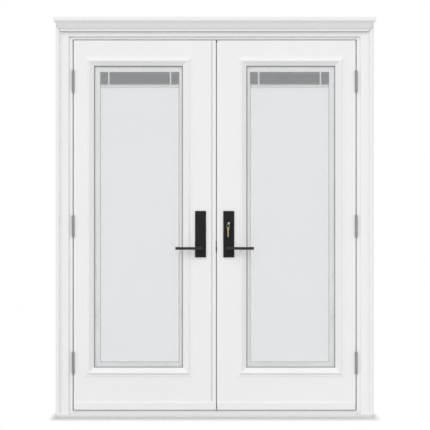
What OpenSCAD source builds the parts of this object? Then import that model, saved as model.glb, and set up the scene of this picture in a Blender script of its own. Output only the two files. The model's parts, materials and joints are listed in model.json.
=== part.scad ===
// Pair of outswing steel entry doors in a frame with brickmould, crown cap and sill.
// Millimetres. +Z is up and the outside of the house is towards -Y.
// The origin is the middle of the sill's underside, in the plane of the jambs' outer edge.
// The active leaf is on +X and the passive leaf on -X.

/* [Leaves] */
// Width of each slab
slab_w = 755; // [700:1:860]
// Height of each slab
slab_h = 2013; // [1930:1:2200]
// Thickness of each slab
slab_t = 44; // [42:0.5:48]
// Thickness of the steel face sheets
skin_t = 1; // [0.6:0.1:1.5]
// Gap between a slab's hinge edge and its jamb
hinge_gap = 5; // [4:0.5:7]
// Gap between the astragal and the active slab
meeting_gap = 7; // [6:0.5:10]
// Gap over the slabs
head_gap = 4; // [3:0.5:7]
// Gap between the slabs and the sill
sill_gap = 7; // [6.5:0.5:10]
// Width of the astragal on the passive slab's edge
astragal_w = 23; // [20:1:30]

/* [Lites] */
// Width of the stile on the lock side
lock_stile = 109; // [100:1:130]
// Width of the stile on the hinge side
hinge_stile = 62; // [50:1:90]
// Height of the rail over the lite frame
top_rail = 90; // [70:1:140]
// Height of the rail under the lite frame
bottom_rail = 176; // [140:1:240]
// Width of the moulded lite frame
lite_frame_w = 49; // [44:1:60]
// Height of the lite frame's ridge over the face sheet
lite_proud = 12; // [10:0.5:15]
// Thickness of the glass unit over both panes
unit_t = 25.4; // [24:0.2:28]
// Thickness of each pane
pane_t = 4; // [3:0.5:5]
// Depth of glass behind the lite frame's lip
glass_lap = 12; // [9:1:14]
// Visible width of the spacer on the lock side
band_lock = 20; // [16:1:26]
// Visible width of the spacer on the hinge side
band_hinge = 33; // [28:1:40]
// Visible height of the spacer over the blind's headrail
band_top = 9; // [6:1:14]
// Visible height of the spacer under the blind
band_bottom = 30; // [24:1:36]

/* [Blinds] */
// Height of the headrail
headrail_h = 24; // [18:1:30]
// Width of a slat from front to back
slat_w = 12.5; // [11:0.5:14]
// Thickness of a slat
slat_t = 0.6; // [0.4:0.1:0.8]
// Rise of a slat's crown
slat_crown = 0.8; // [0.5:0.1:1.2]
// Pitch of the slats in the raised stack
slat_pitch = 1.48; // [1.2:0.02:1.8]
// Number of slats
slat_count = 48; // [30:1:60]
// Height of the bottom rail
blind_rail_h = 15; // [11:1:18]
// Width of a ladder tape
tape_w = 8; // [5:0.5:12]
// Distance from a tape's middle to the blind's end
tape_inset = 45; // [30:1:80]

/* [Frame] */
// Thickness of the jambs
jamb_t = 32; // [28:1:40]
// Depth of the jambs through the wall
jamb_d = 167; // [120:1:200]
// Height of the stop that the leaves close against
stop_w = 12; // [10:1:16]
// Room for the weatherstrip between slab and stop
seal_t = 6; // [5:0.5:8]
// Reveal of the side jambs' edge inside the brickmould
side_reveal = 20; // [16:1:26]
// Reveal of the head jamb's edge under the brickmould
head_reveal = 15; // [10:1:26]
// Width of the brickmould
mould_w = 72; // [64:1:90]
// Height of the brickmould's bead over the jamb's edge
mould_proud = 32; // [28:1:40]
// Height of the brickmould's thin inner part
mould_inner = 15; // [12:1:18]
// Height of the sill under the leaves
sill_h = 33; // [28:1:45]
// Height of the sill's front nose
sill_nose_h = 11; // [8:1:16]
// Reach of the sill in front of the jambs
sill_reach = 48; // [40:1:80]
// Height of the bumper over the sill's top
bumper_h = 20; // [14:1:26]
// Height of the crown cap
crown_h = 76; // [66:1:100]
// Height of the crown cap's lower part, which lies on the head brickmould
crown_lap_h = 43; // [30:1:56]
// Reach of the crown cap over the brickmould's bead
crown_reach = 40; // [30:1:60]
// Length of the crown cap's lower edge, beyond the brickmould's inner edges on each side
crown_lap = 44; // [36:1:60]
// Radius of the anchor holes through the jambs
anchor_r = 3.25; // [2.5:0.25:5]
// Distance between the two anchor holes of a jamb
anchor_spacing = 1400; // [1200:10:1600]

/* [Hinges] */
// Height of a hinge
hinge_h = 114; // [95:1:130]
// Radius of the knuckles
knuckle_r = 7; // [6:0.5:8]
// Radius of the pins
pin_r = 3.5; // [3:0.25:4]
// Thickness of the hinge leaves
hinge_plate_t = 3; // [2:0.5:4]
// Width of a hinge leaf in its mortise
hinge_leaf_w = 36; // [28:1:40]
// Distance from the slab's bottom to the lowest hinge's middle
hinge_low = 253; // [180:1:320]
// Distance from the slab's bottom to the middle hinge's middle
hinge_mid = 999; // [880:1:1100]
// Distance from the slab's top to the highest hinge's middle
hinge_high = 223; // [160:1:320]

/* [Handles] */
// Distance from the slab's lock edge to the lever's axis
backset = 62; // [60:1:72]
// Height of the lever's axis over the slab's bottom
lever_up = 877; // [800:1:960]
// Distance from the lever's axis up to the lock cylinder
lock_spacing = 136; // [120:1:160]
// Width of a handle plate
plate_w = 60; // [54:1:66]
// Height of a handle plate
plate_h = 253; // [240:1:290]
// Thickness of a handle plate
plate_t = 8; // [6:0.5:12]
// Height of a plate's lower end below the lever's axis
plate_drop = 49; // [36:1:60]
// Length of a lever from its axis
lever_l = 137; // [110:1:150]
// Height of a lever's bar
lever_h = 15; // [12:1:20]
// Thickness of a lever's bar
lever_t = 10; // [8:1:14]
// Distance from a plate's face to a lever's bar
lever_reach = 38; // [30:1:50]
// Radius of the lever spindle
spindle_r = 6; // [5:0.5:7]
// Radius of the lock cylinder
cylinder_r = 14; // [12:0.5:16]
// Radius of the plug in the lock cylinder
plug_r = 6.5; // [6:0.25:7.5]
// Radius of the key's bow
bow_r = 12; // [10:0.5:14]
// Turn of the keyway from upright
key_turn = 35; // [0:1:40]
// Radius of the key ring
ring_r = 8; // [7.5:0.5:11]
// Travel of the deadbolt
deadbolt_throw = 25; // [20:1:28]
// Radius of the flush bolts
flush_bolt_r = 4.5; // [4:0.25:5.5]
// Length of the flush bolts
flush_bolt_l = 240; // [180:5:300]
// Travel of the flush bolts
flush_throw = 15; // [12:1:18]

/* [Hidden] */
$fn = 48;
// Clearances: a running fit, and the room between pieces that pass each other
run_fit = 0.05;
pass_gap = 0.3;
// Overshoot of cutting shapes
cut = 1;

// Places across the opening, for the active side
leaf_in = (astragal_w + meeting_gap) / 2;
leaf_out = leaf_in + slab_w;
jamb_x = leaf_out + hinge_gap;
jamb_out = jamb_x + jamb_t;
mould_x = jamb_x + side_reveal;
astragal_x = leaf_in - astragal_w;

// Heights
slab_z0 = sill_h + sill_gap;
slab_z1 = slab_z0 + slab_h;
head_z = slab_z1 + head_gap;
head_stop_z = head_z - stop_w;
// Seat of the sill cap, and how far the sill's horns stop short of the brickmould's outer edge
cap_seat = 15;
horn_back = 10;
mould_z = head_z + head_reveal;
mould_top = mould_z + mould_w;
stop_y = slab_t + seal_t;
mid_y = slab_t / 2;

// Lite frame, glass unit and vision area
lite_x0 = leaf_in + lock_stile;
lite_x1 = leaf_out - hinge_stile;
lite_z0 = slab_z0 + bottom_rail;
lite_z1 = slab_z1 - top_rail;
lip_x0 = lite_x0 + lite_frame_w;
lip_x1 = lite_x1 - lite_frame_w;
lip_z0 = lite_z0 + lite_frame_w;
lip_z1 = lite_z1 - lite_frame_w;
glass_y0 = (slab_t - unit_t) / 2;
glass_y1 = glass_y0 + unit_t;
glass_clear = 4;
cavity_y0 = glass_y0 + pane_t;
cavity_y1 = glass_y1 - pane_t;
edge_seal = 3;
vision_x0 = lip_x0 + band_lock;
vision_x1 = lip_x1 - band_hinge;
vision_z0 = lip_z0 + band_bottom;
vision_z1 = lip_z1 - band_top;

// Blind
blind_gap = 3;
blind_x0 = vision_x0 + blind_gap;
blind_x1 = vision_x1 - blind_gap;
stack_z1 = vision_z1 - headrail_h;
stack_z0 = stack_z1 - slat_count * slat_pitch;
rail_z0 = stack_z0 - blind_rail_h;
headrail_gap = 0.4;
tape_t = 0.4;
operator_w = 14;
operator_h = 44;
operator_t = 8;
operator_x = lip_x1 - band_hinge / 2;
operator_z = vision_z0 + 6;

// Hinge pin and heights
pin_x = jamb_x - hinge_gap / 2;
knuckle_gap = 1;
pin_y = -knuckle_r - knuckle_gap;
knuckle_clear = 0.5;
hinge_face_y = pin_y + knuckle_r + knuckle_clear;
hinge_zs = [slab_z0 + hinge_low, slab_z0 + hinge_mid, slab_z1 - hinge_high];
knuckles = 5;

// Handles and lock
handle_x = leaf_in + backset;
lever_z = slab_z0 + lever_up;
lock_z = lever_z + lock_spacing;
plate_z = lever_z - plate_drop;
plate_bevel = 1.5;
lock_bore_r = 20;
bolt_t = 13;
latch_t = 12;
latch_h = 18;
latch_l = 36;
latch_nose = 2;
deadbolt_h = 26;
deadbolt_l = 42;
deadbolt_back = 0.5;
pocket_end = 2;
// Room round a bolt in its strike or pocket
bolt_room = 1.5;
edge_plate_t = 2;
edge_plate_w = 24;
plug_proud = 5;
tail_r = 3;
thumb_neck_r = 9;
thumb_neck_l = 6;
// Flush bolts, in the middle of the astragal
flush_x = (astragal_x + leaf_in) / 2;
flush_back = 1;
knob_r = 3;
knob_from_end = 200;
strike_w = 20;
strike_l = 32;
strike_t = 2;
// Key, ring and spare key
key_t = 2;
bow_t = 2.6;
bow_out = bow_r + 4;
bow_hole_r = 4;
bow_hole_from_rim = 5.8;
ring_wire_r = 0.7;
ring_hang = 0.8;
hole_reach = bow_r - bow_hole_from_rim;
ring_y = -plate_t - plug_proud - bow_out;
ring_x = handle_x - hole_reach * sin(key_turn);
ring_z = lock_z - hole_reach * cos(key_turn) - ring_hang - ring_r;
// Latch strike on the astragal
latch_strike_h = 63;
latch_strike_up = 8;
latch_strike_lip = 4;

white = [0.93, 0.93, 0.94];
steel = [0.6, 0.6, 0.6];
black = [0.13, 0.13, 0.14];
brass = [0.75, 0.62, 0.36];
rubber = [0.35, 0.35, 0.36];
pane_tint = [0.85, 0.9, 0.9, 0.35];
slat_green = [0.5, 0.54, 0.52];

// Points along an arc
function arc(cx, cy, r, a0, a1, n) =
    [for (i = [0 : n]) let (a = a0 + (a1 - a0) * i / n) [cx + r * cos(a), cy + r * sin(a)]];

// Points of an S curve from one point to another, bulging by k of its span
function ogee(from, to, k, n) =
    [for (i = [0 : n]) let (t = i / n)
        [from[0] + (to[0] - from[0]) * (t + k * sin(360 * t)), from[1] + (to[1] - from[1]) * t]];

// Puts a shape that is drawn for the active side on either side
module on_side(side) {
    mirror([side < 0 ? 1 : 0, 0, 0]) children();
}

// Box between two corners
module box(low, high) {
    translate(low) cube(high - low);
}

// Prism of a shape drawn in X and Z, from y0 to y1
module through_y(y0, y1) {
    translate([0, y1, 0]) rotate([90, 0, 0]) linear_extrude(y1 - y0) children();
}

// Prism of a shape drawn in Y and Z, from x0 to x1
module through_x(x0, x1) {
    translate([x0, 0, 0]) rotate([90, 0, 90]) linear_extrude(x1 - x0) children();
}

// Round rod along Y at a place in X and Z
module rod_y(x, z, r, y0, y1) {
    translate([x, y1, z]) rotate([90, 0, 0]) cylinder(r = r, h = y1 - y0);
}

// Bar of a profile along Z with mitred ends: the profile's X runs outwards from the inner edge
module mitred_bar(length, reach, y0, y1, low_mitre = 1) {
    far = reach + cut;
    intersection() {
        translate([0, 0, -far]) linear_extrude(length + 2 * far) children();
        through_y(y0 - cut, y1 + cut)
            polygon([
                [-cut, cut * low_mitre], [far, -far * low_mitre],
                [far, length + far], [-cut, length - cut]]);
    }
}

// Ring of a profile round an opening
module mitred_ring(x0, x1, z0, z1, reach, y0, y1) {
    translate([x1, 0, z0]) mitred_bar(z1 - z0, reach, y0, y1) children();
    translate([x0, 0, z0]) mirror([1, 0, 0]) mitred_bar(z1 - z0, reach, y0, y1) children();
    translate([x1, 0, z1]) rotate([0, -90, 0]) mitred_bar(x1 - x0, reach, y0, y1) children();
    translate([x1, 0, z0]) mirror([0, 0, 1]) rotate([0, -90, 0])
        mitred_bar(x1 - x0, reach, y0, y1) children();
}

// Frame

// Section of the brickmould: a flat inner part, a cove and a bead with round edges
module mould_profile() {
    bead_w = 22;
    bead_r = 6;
    edge = 2;
    cove_w = 22;
    bead_x = mould_w - bead_w;
    bead_y = -mould_proud + bead_r;
    flat_y = -mould_inner - edge;
    cove = [for (i = [0 : 5]) let (t = i / 6)
        [bead_x - cove_w * (1 - t), flat_y + (bead_y - flat_y) * t * t]];
    polygon(concat(
        [[0, 0], [0, -mould_inner + edge], [edge, -mould_inner]],
        cove,
        arc(bead_x + bead_r, bead_y, bead_r, 180, 270, 5),
        arc(mould_w - bead_r, bead_y, bead_r, 270, 360, 5),
        [[mould_w, 0]]));
}

module side_brickmoulds() {
    color(white) for (side = [-1, 1]) {
        on_side(side) translate([mould_x, 0, sill_nose_h])
            mitred_bar(mould_z - sill_nose_h, mould_w, -mould_proud, 0, 0) mould_profile();
    }
}

module head_brickmould() {
    color(white) translate([mould_x, 0, mould_z]) rotate([0, -90, 0])
        mitred_bar(2 * mould_x, mould_w, -mould_proud, 0) mould_profile();
}

// Outline of the crown: how far it reaches at each height over its lower edge
function crown_outline() =
    let (bead = 4, bead_h = 8, fillet_h = 20)
    concat(
        [[0, 0], [bead / 2, 0], [bead, bead / 2], [bead, bead_h]],
        ogee([bead + 1, bead_h + 1], [crown_reach - 2, crown_h - fillet_h - 2], 0.04, 8),
        [[crown_reach, crown_h - fillet_h], [crown_reach, crown_h]]);

module crown_cap() {
    half = mould_x + crown_lap;
    front = [for (p = crown_outline()) [-mould_proud - p[0], p[1]]];
    right = [for (p = crown_outline()) [half + p[0], p[1]]];
    left = [for (i = [len(right) - 1 : -1 : 0]) [-right[i][0], right[i][1]]];
    color(white) translate([0, 0, mould_top - crown_lap_h]) intersection() {
        through_x(-half - crown_reach - cut, half + crown_reach + cut)
            polygon(concat(front, [[0, crown_h], [0, crown_lap_h], [-mould_proud, crown_lap_h]]));
        through_y(-mould_proud - crown_reach - cut, cut) polygon(concat(right, left));
    }
}

// Jamb board, with seats for the hinges and holes for the anchor screws
module side_jamb(side) {
    color(white) on_side(side) difference() {
        box([jamb_x, 0, 0], [jamb_out, jamb_d, head_z + jamb_t]);
        for (z = hinge_zs) {
            box([jamb_x - cut, -cut, z - hinge_h / 2],
                [jamb_x + hinge_plate_t, hinge_leaf_w, z + hinge_h / 2]);
        }
        anchor_holes();
    }
}

// Stops planted on the jambs; the side stops end under the head's stop
module door_stops() {
    color(white) {
        box([-jamb_x, stop_y, head_stop_z], [jamb_x, jamb_d, head_z]);
        for (side = [-1, 1]) {
            on_side(side) difference() {
                box([jamb_x - stop_w, stop_y, 0], [jamb_x, jamb_d, head_stop_z]);
                anchor_holes();
            }
        }
    }
}

module anchor_holes() {
    for (z = anchor_zs()) {
        translate([jamb_x - stop_w - cut, (stop_y + jamb_d) / 2, z]) rotate([0, 90, 0])
            cylinder(r = anchor_r, h = jamb_t + stop_w + 2 * cut);
    }
}

// Heights of the two anchor holes of a jamb
function anchor_zs() = [for (k = [-1, 1]) slab_z0 + (slab_h + k * anchor_spacing) / 2];

module head_jamb() {
    color(white) difference() {
        box([-jamb_x, 0, head_z], [jamb_x, jamb_d, head_z + jamb_t]);
        flush_pocket(head_z - cut, head_z + flush_throw + cut);
        flush_strike(head_z - cut, head_z + strike_t);
    }
}

// Sill: sloped nose, tread under the leaves, a lower seat for the cap inside, horns under the brickmould
module sill() {
    bevel = 3;
    horn_x = mould_x + mould_w - horn_back;
    color(white) difference() {
        union() {
            through_x(-jamb_x, jamb_x) polygon([
                [-sill_reach, 0], [-sill_reach, sill_nose_h - bevel], [-sill_reach + bevel, sill_nose_h],
                [0, sill_h], [stop_y, sill_h], [stop_y, 0]]);
            box([stop_w - jamb_x, stop_y, 0], [jamb_x - stop_w, jamb_d, cap_seat]);
            for (side = [-1, 1]) {
                on_side(side) box([jamb_x, -sill_reach, 0], [horn_x, 0, sill_nose_h - bevel]);
                on_side(side) box([jamb_x, -mould_proud, 0], [horn_x, 0, sill_nose_h]);
            }
        }
        flush_pocket(sill_h - flush_throw, sill_h + cut);
        flush_strike(sill_h - strike_t, sill_h + cut);
    }
}

// Cap on the sill that the leaves close against, with a slope to the inside
module sill_cap() {
    round_off = 2;
    top_w = 10;
    foot_w = 15;
    foot_h = 5;
    top_z = sill_h + bumper_h;
    color(white) through_x(stop_w - jamb_x, jamb_x - stop_w) polygon([
        [stop_y, cap_seat], [stop_y, top_z - round_off], [stop_y + round_off, top_z], [stop_y + top_w, top_z],
        [stop_y + foot_w, sill_h + foot_h], [jamb_d, sill_h - foot_h], [jamb_d, cap_seat]]);
}

// Bulb seals between the slabs and the stops, on both sides, the head and the bumper
module weatherstrips() {
    bulb_r = (seal_t - pass_gap) / 2;
    foot = 4;
    color(rubber) {
        for (side = [-1, 1]) {
            on_side(side) translate([jamb_x - stop_w + bulb_r, stop_y, sill_h])
                linear_extrude(head_stop_z - sill_h) seal_section(bulb_r, foot);
        }
        translate([jamb_x, stop_y, head_stop_z + bulb_r]) rotate([0, -90, 0])
            linear_extrude(2 * jamb_x) seal_section(bulb_r, foot);
        translate([jamb_x - stop_w, stop_y, sill_h + bumper_h - foot - bulb_r]) rotate([0, -90, 0])
            linear_extrude(2 * (jamb_x - stop_w)) seal_section(bulb_r, foot);
    }
}

module seal_section(bulb_r, foot) {
    translate([0, -bulb_r]) circle(r = bulb_r);
    translate([-foot / 2, -bulb_r]) square([foot, bulb_r]);
}

// Hinges

// One half of a hinge at a height: a plate with every second knuckle of the barrel
module hinge_half(x0, first, z) {
    pitch = hinge_h / knuckles;
    difference() {
        union() {
            box([x0, hinge_face_y, z - hinge_h / 2],
                [x0 + hinge_plate_t, hinge_leaf_w, z + hinge_h / 2]);
            for (i = [first : 2 : knuckles - 1]) {
                low = z - hinge_h / 2 + i * pitch + pass_gap / 2;
                translate([pin_x, pin_y, low]) cylinder(r = knuckle_r, h = pitch - pass_gap);
                box([x0, pin_y, low], [x0 + hinge_plate_t, hinge_face_y, low + pitch - pass_gap]);
            }
        }
        translate([pin_x, pin_y, z - hinge_h / 2 - cut]) cylinder(r = pin_r + run_fit, h = hinge_h + 2 * cut);
    }
}

module jamb_hinge_leaves() {
    color(steel) for (side = [-1, 1]) {
        for (z = hinge_zs) {
            on_side(side) hinge_half(jamb_x, 0, z);
        }
    }
}

module leaf_hinge_leaves(side) {
    color(steel) on_side(side) for (z = hinge_zs) {
        hinge_half(leaf_out - hinge_plate_t, 1, z);
    }
}

// Pins with a button at each end
module hinge_pins() {
    button_h = 3;
    color(steel) for (side = [-1, 1]) {
        for (z = hinge_zs) {
            on_side(side) translate([pin_x, pin_y, z - hinge_h / 2 - button_h]) {
                cylinder(r = knuckle_r - cut, h = button_h);
                cylinder(r = pin_r, h = hinge_h + 2 * button_h);
                translate([0, 0, hinge_h + button_h]) cylinder(r = knuckle_r - cut, h = button_h);
            }
        }
    }
}

// Mortises for the hinge leaves in a slab's edge
module hinge_mortises() {
    for (z = hinge_zs) {
        box([leaf_out - hinge_plate_t, -cut, z - hinge_h / 2],
            [leaf_out + cut, hinge_leaf_w, z + hinge_h / 2]);
    }
}

// Leaves

// Opening for the glass unit
module lite_cutout() {
    room = glass_lap + glass_clear;
    box([lip_x0 - room, -cut, lip_z0 - room], [lip_x1 + room, slab_t + cut, lip_z1 + room]);
}

// Bores for the lever set and the lock cylinder
module lock_bores() {
    rod_y(handle_x, lever_z, lock_bore_r, -cut, slab_t + cut);
    rod_y(handle_x, lock_z, lock_bore_r, -cut, slab_t + cut);
}

// Channels of the latch and the deadbolt, with the recesses of their edge plates
module bolt_channels() {
    box([leaf_in - cut, mid_y - latch_t / 2 - pass_gap, lever_z - latch_h / 2 - pass_gap],
        [handle_x, mid_y + latch_t / 2 + pass_gap, lever_z + latch_h / 2 + pass_gap]);
    box([leaf_in - cut, mid_y - bolt_t / 2 - pass_gap, lock_z - deadbolt_h / 2 - pass_gap],
        [handle_x, mid_y + bolt_t / 2 + pass_gap, lock_z + deadbolt_h / 2 + pass_gap]);
}

module edge_plate_recesses() {
    for (z = [lever_z, lock_z]) {
        box([leaf_in - cut, mid_y - edge_plate_w / 2, z - edge_plate_h() / 2],
            [leaf_in + edge_plate_t, mid_y + edge_plate_w / 2, z + edge_plate_h() / 2]);
    }
}

function edge_plate_h() = deadbolt_h + 30;

module leaf_core(side) {
    color([0.85, 0.8, 0.66]) on_side(side) difference() {
        box([leaf_in, skin_t, slab_z0], [leaf_out, slab_t - skin_t, slab_z1]);
        lite_cutout();
        hinge_mortises();
        if (side > 0) {
            lock_bores();
            bolt_channels();
            edge_plate_recesses();
        }
    }
}

module leaf_skins(side) {
    color(white) on_side(side) for (y = [0, slab_t - skin_t]) {
        difference() {
            box([leaf_in, y, slab_z0], [leaf_out, y + skin_t, slab_z1]);
            lite_cutout();
            hinge_mortises();
            if (side > 0) {
                lock_bores();
            }
        }
    }
}

// Section of the lite frame: lip on the glass, slope to a ridge, cove to a thin outer edge
module lite_profile() {
    ridge_r = 7;
    ridge_x = lite_frame_w - 22;
    cove_r = 9;
    cove_x = lite_frame_w - 6;
    edge = 2;
    polygon(concat(
        [[0, glass_y0], [0, 4], [3, 2.5], [ridge_x - 13, -lite_proud + 7.5]],
        arc(ridge_x, -lite_proud + ridge_r, ridge_r, 215, 325, 6),
        arc(cove_x, -lite_proud, cove_r, 160, 85, 5),
        [[lite_frame_w - edge, -edge - 1], [lite_frame_w, -edge], [lite_frame_w, 0], [glass_lap, 0],
         [glass_lap, glass_y0]]));
}

module lite_frame(side, inner) {
    color(white) on_side(side) translate([0, inner ? slab_t : 0, 0]) mirror([0, inner ? 1 : 0, 0])
        mitred_ring(lip_x0, lip_x1, lip_z0, lip_z1, lite_frame_w, -lite_proud, glass_y0) lite_profile();
}

module leaf_panes(side) {
    color(pane_tint) on_side(side) for (y = [glass_y0, cavity_y1]) {
        box([lip_x0 - glass_lap, y, lip_z0 - glass_lap],
            [lip_x1 + glass_lap, y + pane_t, lip_z1 + glass_lap]);
    }
}

// Spacer round the cavity between the panes, wider on the hinge side, where the blind's cords run
module leaf_spacer(side) {
    out = glass_lap - edge_seal;
    color([0.8, 0.81, 0.82]) on_side(side) difference() {
        box([lip_x0 - out, cavity_y0, lip_z0 - out], [lip_x1 + out, cavity_y1, lip_z1 + out]);
        box([vision_x0, cavity_y0 - cut, vision_z0], [vision_x1, cavity_y1 + cut, vision_z1]);
    }
}

// Headrail: a channel, open downwards, across the top of the cavity
module blind_headrail(side) {
    wall = 1.5;
    y0 = cavity_y0 + headrail_gap;
    y1 = cavity_y1 - headrail_gap;
    color(white) on_side(side) difference() {
        box([vision_x0, y0, stack_z1], [vision_x1, y1, vision_z1]);
        box([vision_x0 + wall, y0 + wall, stack_z1 - cut], [vision_x1 - wall, y1 - wall, vision_z1 - wall]);
    }
}

// Section of a slat in Y and Z: a shallow arch of constant thickness
module slat_section() {
    steps = 4;
    rise = [for (i = [0 : steps]) let (t = 2 * i / steps - 1)
        [t * slat_w / 2, slat_crown * (1 - t * t)]];
    lower = [for (i = [steps : -1 : 0]) rise[i]];
    polygon(concat([for (p = rise) [p[0], p[1] + slat_t]], lower));
}

module blind_slats(side) {
    color(slat_green) on_side(side) for (i = [0 : slat_count - 1]) {
        translate([0, mid_y, stack_z0 + i * slat_pitch]) through_x(blind_x0, blind_x1) slat_section();
    }
}

// Ladder tapes in front of the slats and behind them
module blind_ladders(side) {
    color(white) on_side(side) for (x = [blind_x0 + tape_inset, blind_x1 - tape_inset]) {
        for (y = [mid_y - slat_w / 2 - pass_gap - tape_t, mid_y + slat_w / 2 + pass_gap]) {
            box([x - tape_w / 2, y, stack_z0 + pass_gap], [x + tape_w / 2, y + tape_t, stack_z1]);
        }
    }
}

// Bottom rail with a rounded front and back
module blind_bottom_rail(side) {
    edge = 2.5;
    color(white) on_side(side) through_x(blind_x0, blind_x1) polygon(concat(
        arc(mid_y - slat_w / 2 + edge, rail_z0 + edge, edge, 180, 270, 4),
        arc(mid_y + slat_w / 2 - edge, rail_z0 + edge, edge, 270, 360, 4),
        [[mid_y + slat_w / 2, stack_z0 - pass_gap], [mid_y - slat_w / 2, stack_z0 - pass_gap]]));
}

// Sliding knob of the blind, on the inner pane over the wide spacer
module blind_operator(side) {
    y0 = glass_y1 + pass_gap;
    bevel = 2;
    color(white) on_side(side) translate([operator_x, 0, operator_z]) linear_extrude(operator_h) polygon([
        [-operator_w / 2, y0], [operator_w / 2, y0], [operator_w / 2, y0 + operator_t - bevel],
        [operator_w / 2 - bevel, y0 + operator_t], [-operator_w / 2 + bevel, y0 + operator_t],
        [-operator_w / 2, y0 + operator_t - bevel]]);
}

// Drip sweep: a nosed cover on the slab's foot with a thick leg and two low ribs under the slab
module drip_sweep(side) {
    cover_h = 40;
    cover_t = 10;
    leg_t = 4.8;
    fin_h = 5.5;
    fin_w = 2;
    drip = 4;
    fin_ys = [slab_t / 4, slab_t * 3 / 4];
    end_gap = 2;
    x0 = side > 0 ? leaf_in - end_gap : astragal_x;
    color(white) on_side(side) difference() {
        translate([0, 0, slab_z0]) through_x(x0, leaf_out - end_gap) union() {
            polygon([[0, cover_h], [-drip, cover_h], [-cover_t, cover_h - 8], [-cover_t, -drip],
                     [-cover_t + drip, -drip], [-cover_t + drip + 2, -leg_t], [slab_t - end_gap, -leg_t],
                     [slab_t - end_gap, 0], [0, 0]]);
            for (y = fin_ys) {
                translate([y - fin_w / 2, -fin_h]) square([fin_w, fin_h]);
            }
        }
        if (side < 0) {
            translate([flush_x, mid_y, slab_z0 - fin_h - cut])
                cylinder(r = flush_bolt_r + pass_gap, h = fin_h + 2 * cut);
        }
    }
}

// Astragal and flush bolts

module astragal() {
    edge = 1.5;
    color(white) on_side(-1) difference() {
        translate([0, 0, slab_z0]) linear_extrude(slab_h) polygon([
            [astragal_x, edge], [astragal_x + edge, 0], [leaf_in - edge, 0], [leaf_in, edge],
            [leaf_in, slab_t], [astragal_x, slab_t]]);
        flush_bore(slab_z1 - flush_bolt_l - flush_back - cut, slab_z1 + cut);
        flush_bore(slab_z0 - cut, slab_z0 + flush_bolt_l + flush_back + cut);
        knob_slot(slab_z1 - knob_from_end, flush_throw);
        knob_slot(slab_z0 + knob_from_end, -flush_throw);
        deadbolt_pocket();
        latch_strike(0);
        latch_strike_hole(astragal_w - edge);
    }
}

// Pocket that the thrown deadbolt moves into
module deadbolt_pocket() {
    depth = deadbolt_throw - meeting_gap - deadbolt_back + pocket_end;
    box([astragal_x - cut, mid_y - bolt_t / 2 - bolt_room, lock_z - deadbolt_h / 2 - bolt_room],
        [astragal_x + depth, mid_y + bolt_t / 2 + bolt_room, lock_z + deadbolt_h / 2 + bolt_room]);
}

module flush_bore(z0, z1) {
    translate([flush_x, mid_y, z0]) cylinder(r = flush_bolt_r + run_fit, h = z1 - z0);
}

// Slot for a flush bolt's knob, open to the astragal's meeting face
module knob_slot(z, travel) {
    low = min(z, z + travel) - knob_r - pass_gap;
    high = max(z, z + travel) + knob_r + pass_gap;
    box([astragal_x - cut, mid_y - knob_r - pass_gap, low], [flush_x, mid_y + knob_r + pass_gap, high]);
}

// Flush bolt: a rod that is drawn back, with a round knob in the slot
module flush_bolt(z0, knob_z) {
    color(steel) on_side(-1) {
        translate([flush_x, mid_y, z0]) cylinder(r = flush_bolt_r, h = flush_bolt_l);
        translate([astragal_x + cut, mid_y, knob_z]) rotate([0, 90, 0])
            cylinder(r = knob_r, h = flush_x - astragal_x - cut);
    }
}

module top_flush_bolt() {
    flush_bolt(slab_z1 - flush_bolt_l - flush_back, slab_z1 - knob_from_end);
}

module bottom_flush_bolt() {
    flush_bolt(slab_z0 + flush_back, slab_z0 + knob_from_end);
}

// Plate for a flush bolt in the head jamb or the sill
module flush_strike(z0, z1) {
    box([-flush_x - strike_l / 2, mid_y - strike_w / 2, z0],
        [-flush_x + strike_l / 2, mid_y + strike_w / 2, z1]);
}

// Square pocket that a flush bolt's end moves into
module flush_pocket(z0, z1) {
    room = flush_bolt_r + bolt_room;
    box([-flush_x - room, mid_y - room, z0], [-flush_x + room, mid_y + room, z1]);
}

module bolt_strikes() {
    color(steel) for (z = [head_z, sill_h - strike_t]) {
        difference() {
            flush_strike(z, z + strike_t);
            flush_pocket(z - cut, z + strike_t + cut);
        }
    }
}

// Bulb seal on the astragal's meeting face
module astragal_seal() {
    proud = 3;
    bulb_w = 6;
    back = 8;
    color(rubber) on_side(-1) translate([0, 0, slab_z0]) linear_extrude(slab_h) polygon(concat(
        [[astragal_x, slab_t - back + bulb_w / 2]],
        [for (i = [0 : 8]) let (a = 180 * i / 8)
            [astragal_x - proud * sin(a), slab_t - back + bulb_w / 2 * cos(a)]],
        [[astragal_x, slab_t - back - bulb_w / 2]]));
}

// Strike plate of the latch: a plate in the astragal's face with a lip to the outside
module latch_strike(lip) {
    z0 = lever_z + latch_strike_up - latch_strike_h / 2;
    box([astragal_x, 0, z0], [astragal_x + strike_t, mid_y + 10, z0 + latch_strike_h]);
    if (lip > 0) {
        box([astragal_x - lip, -1, z0], [astragal_x + strike_t, 0, z0 + latch_strike_h]);
    } else {
        box([astragal_x - cut, -cut, z0], [astragal_x + strike_t, mid_y + 10, z0 + latch_strike_h]);
    }
}

module latch_strike_hole(depth) {
    box([astragal_x - cut, mid_y - latch_t / 2 - 1, lever_z - latch_h / 2 - 1],
        [astragal_x + depth, mid_y + latch_t / 2 + 1, lever_z + latch_h / 2 + 1]);
}

module strike_plate() {
    color(black) on_side(-1) difference() {
        latch_strike(latch_strike_lip);
        latch_strike_hole(strike_t + cut);
    }
}

// Handles

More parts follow.
